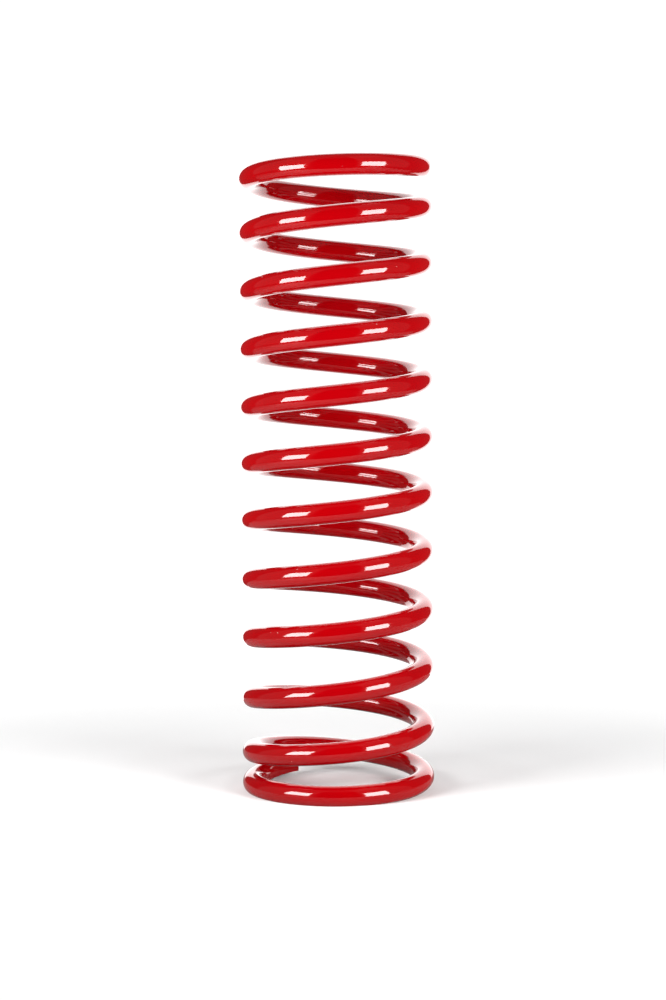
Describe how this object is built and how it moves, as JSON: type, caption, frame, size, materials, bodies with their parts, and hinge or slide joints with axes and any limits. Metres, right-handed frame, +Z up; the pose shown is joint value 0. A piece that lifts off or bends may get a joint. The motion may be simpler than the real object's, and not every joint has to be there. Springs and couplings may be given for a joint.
{
  "type": "coil spring",
  "caption": "Red powder-coated coil spring for a car's suspension, right-hand wound from round wire, with a closed flat-faced lower turn and an open upper turn.",
  "frame": {"origin": "on the spring's axis, in the plane of the flat lower seat", "axes": "+Z up the spring's axis from the lower seat to the upper turn; -Y is the side where the wire crosses at whole turns"},
  "size_m": [0.114, 0.114, 0.3733],
  "materials": {
    "powder_coat": "glossy powder coat over spring steel"
  },
  "bodies": {
    "lower_end_coil": {"lower_end_coil": "powder_coat"},
    "turn_01_front": {"turn_01_front": "powder_coat"},
    "turn_01_right": {"turn_01_right": "powder_coat"},
    "turn_01_back": {"turn_01_back": "powder_coat"},
    "turn_01_left": {"turn_01_left": "powder_coat"},
    "turn_02_front": {"turn_02_front": "powder_coat"},
    "turn_02_right": {"turn_02_right": "powder_coat"},
    "turn_02_back": {"turn_02_back": "powder_coat"},
    "turn_02_left": {"turn_02_left": "powder_coat"},
    "turn_03_front": {"turn_03_front": "powder_coat"},
    "turn_03_right": {"turn_03_right": "powder_coat"},
    "turn_03_back": {"turn_03_back": "powder_coat"},
    "turn_03_left": {"turn_03_left": "powder_coat"},
    "turn_04_front": {"turn_04_front": "powder_coat"},
    "turn_04_right": {"turn_04_right": "powder_coat"},
    "turn_04_back": {"turn_04_back": "powder_coat"},
    "turn_04_left": {"turn_04_left": "powder_coat"},
    "turn_05_front": {"turn_05_front": "powder_coat"},
    "turn_05_right": {"turn_05_right": "powder_coat"},
    "turn_05_back": {"turn_05_back": "powder_coat"},
    "turn_05_left": {"turn_05_left": "powder_coat"},
    "turn_06_front": {"turn_06_front": "powder_coat"},
    "turn_06_right": {"turn_06_right": "powder_coat"},
    "turn_06_back": {"turn_06_back": "powder_coat"},
    "turn_06_left": {"turn_06_left": "powder_coat"},
    "turn_07_front": {"turn_07_front": "powder_coat"},
    "turn_07_right": {"turn_07_right": "powder_coat"},
    "turn_07_back": {"turn_07_back": "powder_coat"},
    "turn_07_left": {"turn_07_left": "powder_coat"},
    "turn_08_front": {"turn_08_front": "powder_coat"},
    "turn_08_right": {"turn_08_right": "powder_coat"},
    "turn_08_back": {"turn_08_back": "powder_coat"},
    "turn_08_left": {"turn_08_left": "powder_coat"},
    "turn_09_front": {"turn_09_front": "powder_coat"},
    "turn_09_right": {"turn_09_right": "powder_coat"},
    "turn_09_back": {"turn_09_back": "powder_coat"},
    "turn_09_left": {"turn_09_left": "powder_coat"},
    "turn_10_front": {"turn_10_front": "powder_coat"},
    "turn_10_right": {"turn_10_right": "powder_coat"},
    "turn_10_back": {"turn_10_back": "powder_coat"},
    "upper_end_coil": {"upper_end_coil": "powder_coat"}
  },
  "joints": [
    {"name": "compression", "type": "slide", "parent": "lower_end_coil", "child": "upper_end_coil", "axis": [0, 0, 1], "range_m": [-0.156, 0], "stiffness_N_per_m": 22500},
    {"name": "turn_01_front_travel", "type": "slide", "parent": "lower_end_coil", "child": "turn_01_front", "axis": [0, 0, 1], "range_m": [-0.004, 0]},
    {"name": "turn_01_right_travel", "type": "slide", "parent": "lower_end_coil", "child": "turn_01_right", "axis": [0, 0, 1], "range_m": [-0.008, 0]},
    {"name": "turn_01_back_travel", "type": "slide", "parent": "lower_end_coil", "child": "turn_01_back", "axis": [0, 0, 1], "range_m": [-0.012, 0]},
    {"name": "turn_01_left_travel", "type": "slide", "parent": "lower_end_coil", "child": "turn_01_left", "axis": [0, 0, 1], "range_m": [-0.016, 0]},
    {"name": "turn_02_front_travel", "type": "slide", "parent": "lower_end_coil", "child": "turn_02_front", "axis": [0, 0, 1], "range_m": [-0.02, 0]},
    {"name": "turn_02_right_travel", "type": "slide", "parent": "lower_end_coil", "child": "turn_02_right", "axis": [0, 0, 1], "range_m": [-0.024, 0]},
    {"name": "turn_02_back_travel", "type": "slide", "parent": "lower_end_coil", "child": "turn_02_back", "axis": [0, 0, 1], "range_m": [-0.028, 0]},
    {"name": "turn_02_left_travel", "type": "slide", "parent": "lower_end_coil", "child": "turn_02_left", "axis": [0, 0, 1], "range_m": [-0.032, 0]},
    {"name": "turn_03_front_travel", "type": "slide", "parent": "lower_end_coil", "child": "turn_03_front", "axis": [0, 0, 1], "range_m": [-0.036, 0]},
    {"name": "turn_03_right_travel", "type": "slide", "parent": "lower_end_coil", "child": "turn_03_right", "axis": [0, 0, 1], "range_m": [-0.04, 0]},
    {"name": "turn_03_back_travel", "type": "slide", "parent": "lower_end_coil", "child": "turn_03_back", "axis": [0, 0, 1], "range_m": [-0.044, 0]},
    {"name": "turn_03_left_travel", "type": "slide", "parent": "lower_end_coil", "child": "turn_03_left", "axis": [0, 0, 1], "range_m": [-0.048, 0]},
    {"name": "turn_04_front_travel", "type": "slide", "parent": "lower_end_coil", "child": "turn_04_front", "axis": [0, 0, 1], "range_m": [-0.052, 0]},
    {"name": "turn_04_right_travel", "type": "slide", "parent": "lower_end_coil", "child": "turn_04_right", "axis": [0, 0, 1], "range_m": [-0.056, 0]},
    {"name": "turn_04_back_travel", "type": "slide", "parent": "lower_end_coil", "child": "turn_04_back", "axis": [0, 0, 1], "range_m": [-0.06, 0]},
    {"name": "turn_04_left_travel", "type": "slide", "parent": "lower_end_coil", "child": "turn_04_left", "axis": [0, 0, 1], "range_m": [-0.064, 0]},
    {"name": "turn_05_front_travel", "type": "slide", "parent": "lower_end_coil", "child": "turn_05_front", "axis": [0, 0, 1], "range_m": [-0.068, 0]},
    {"name": "turn_05_right_travel", "type": "slide", "parent": "lower_end_coil", "child": "turn_05_right", "axis": [0, 0, 1], "range_m": [-0.072, 0]},
    {"name": "turn_05_back_travel", "type": "slide", "parent": "lower_end_coil", "child": "turn_05_back", "axis": [0, 0, 1], "range_m": [-0.076, 0]},
    {"name": "turn_05_left_travel", "type": "slide", "parent": "lower_end_coil", "child": "turn_05_left", "axis": [0, 0, 1], "range_m": [-0.08, 0]},
    {"name": "turn_06_front_travel", "type": "slide", "parent": "lower_end_coil", "child": "turn_06_front", "axis": [0, 0, 1], "range_m": [-0.084, 0]},
    {"name": "turn_06_right_travel", "type": "slide", "parent": "lower_end_coil", "child": "turn_06_right", "axis": [0, 0, 1], "range_m": [-0.088, 0]},
    {"name": "turn_06_back_travel", "type": "slide", "parent": "lower_end_coil", "child": "turn_06_back", "axis": [0, 0, 1], "range_m": [-0.092, 0]},
    {"name": "turn_06_left_travel", "type": "slide", "parent": "lower_end_coil", "child": "turn_06_left", "axis": [0, 0, 1], "range_m": [-0.096, 0]},
    {"name": "turn_07_front_travel", "type": "slide", "parent": "lower_end_coil", "child": "turn_07_front", "axis": [0, 0, 1], "range_m": [-0.1, 0]},
    {"name": "turn_07_right_travel", "type": "slide", "parent": "lower_end_coil", "child": "turn_07_right", "axis": [0, 0, 1], "range_m": [-0.104, 0]},
    {"name": "turn_07_back_travel", "type": "slide", "parent": "lower_end_coil", "child": "turn_07_back", "axis": [0, 0, 1], "range_m": [-0.108, 0]},
    {"name": "turn_07_left_travel", "type": "slide", "parent": "lower_end_coil", "child": "turn_07_left", "axis": [0, 0, 1], "range_m": [-0.112, 0]},
    {"name": "turn_08_front_travel", "type": "slide", "parent": "lower_end_coil", "child": "turn_08_front", "axis": [0, 0, 1], "range_m": [-0.116, 0]},
    {"name": "turn_08_right_travel", "type": "slide", "parent": "lower_end_coil", "child": "turn_08_right", "axis": [0, 0, 1], "range_m": [-0.12, 0]},
    {"name": "turn_08_back_travel", "type": "slide", "parent": "lower_end_coil", "child": "turn_08_back", "axis": [0, 0, 1], "range_m": [-0.124, 0]},
    {"name": "turn_08_left_travel", "type": "slide", "parent": "lower_end_coil", "child": "turn_08_left", "axis": [0, 0, 1], "range_m": [-0.128, 0]},
    {"name": "turn_09_front_travel", "type": "slide", "parent": "lower_end_coil", "child": "turn_09_front", "axis": [0, 0, 1], "range_m": [-0.132, 0]},
    {"name": "turn_09_right_travel", "type": "slide", "parent": "lower_end_coil", "child": "turn_09_right", "axis": [0, 0, 1], "range_m": [-0.136, 0]},
    {"name": "turn_09_back_travel", "type": "slide", "parent": "lower_end_coil", "child": "turn_09_back", "axis": [0, 0, 1], "range_m": [-0.14, 0]},
    {"name": "turn_09_left_travel", "type": "slide", "parent": "lower_end_coil", "child": "turn_09_left", "axis": [0, 0, 1], "range_m": [-0.144, 0]},
    {"name": "turn_10_front_travel", "type": "slide", "parent": "lower_end_coil", "child": "turn_10_front", "axis": [0, 0, 1], "range_m": [-0.148, 0]},
    {"name": "turn_10_right_travel", "type": "slide", "parent": "lower_end_coil", "child": "turn_10_right", "axis": [0, 0, 1], "range_m": [-0.152, 0]},
    {"name": "turn_10_back_travel", "type": "slide", "parent": "lower_end_coil", "child": "turn_10_back", "axis": [0, 0, 1], "range_m": [-0.156, 0]}
  ],
  "couplings": [
    {"joint": "turn_01_front_travel", "follows": "compression", "ratio": 0.025641},
    {"joint": "turn_01_right_travel", "follows": "compression", "ratio": 0.051282},
    {"joint": "turn_01_back_travel", "follows": "compression", "ratio": 0.076923},
    {"joint": "turn_01_left_travel", "follows": "compression", "ratio": 0.10256},
    {"joint": "turn_02_front_travel", "follows": "compression", "ratio": 0.12821},
    {"joint": "turn_02_right_travel", "follows": "compression", "ratio": 0.15385},
    {"joint": "turn_02_back_travel", "follows": "compression", "ratio": 0.17949},
    {"joint": "turn_02_left_travel", "follows": "compression", "ratio": 0.20513},
    {"joint": "turn_03_front_travel", "follows": "compression", "ratio": 0.23077},
    {"joint": "turn_03_right_travel", "follows": "compression", "ratio": 0.25641},
    {"joint": "turn_03_back_travel", "follows": "compression", "ratio": 0.28205},
    {"joint": "turn_03_left_travel", "follows": "compression", "ratio": 0.30769},
    {"joint": "turn_04_front_travel", "follows": "compression", "ratio": 0.33333},
    {"joint": "turn_04_right_travel", "follows": "compression", "ratio": 0.35897},
    {"joint": "turn_04_back_travel", "follows": "compression", "ratio": 0.38462},
    {"joint": "turn_04_left_travel", "follows": "compression", "ratio": 0.41026},
    {"joint": "turn_05_front_travel", "follows": "compression", "ratio": 0.4359},
    {"joint": "turn_05_right_travel", "follows": "compression", "ratio": 0.46154},
    {"joint": "turn_05_back_travel", "follows": "compression", "ratio": 0.48718},
    {"joint": "turn_05_left_travel", "follows": "compression", "ratio": 0.51282},
    {"joint": "turn_06_front_travel", "follows": "compression", "ratio": 0.53846},
    {"joint": "turn_06_right_travel", "follows": "compression", "ratio": 0.5641},
    {"joint": "turn_06_back_travel", "follows": "compression", "ratio": 0.58974},
    {"joint": "turn_06_left_travel", "follows": "compression", "ratio": 0.61538},
    {"joint": "turn_07_front_travel", "follows": "compression", "ratio": 0.64103},
    {"joint": "turn_07_right_travel", "follows": "compression", "ratio": 0.66667},
    {"joint": "turn_07_back_travel", "follows": "compression", "ratio": 0.69231},
    {"joint": "turn_07_left_travel", "follows": "compression", "ratio": 0.71795},
    {"joint": "turn_08_front_travel", "follows": "compression", "ratio": 0.74359},
    {"joint": "turn_08_right_travel", "follows": "compression", "ratio": 0.76923},
    {"joint": "turn_08_back_travel", "follows": "compression", "ratio": 0.79487},
    {"joint": "turn_08_left_travel", "follows": "compression", "ratio": 0.82051},
    {"joint": "turn_09_front_travel", "follows": "compression", "ratio": 0.84615},
    {"joint": "turn_09_right_travel", "follows": "compression", "ratio": 0.87179},
    {"joint": "turn_09_back_travel", "follows": "compression", "ratio": 0.89744},
    {"joint": "turn_09_left_travel", "follows": "compression", "ratio": 0.92308},
    {"joint": "turn_10_front_travel", "follows": "compression", "ratio": 0.94872},
    {"joint": "turn_10_right_travel", "follows": "compression", "ratio": 0.97436},
    {"joint": "turn_10_back_travel", "follows": "compression", "ratio": 1}
  ]
}
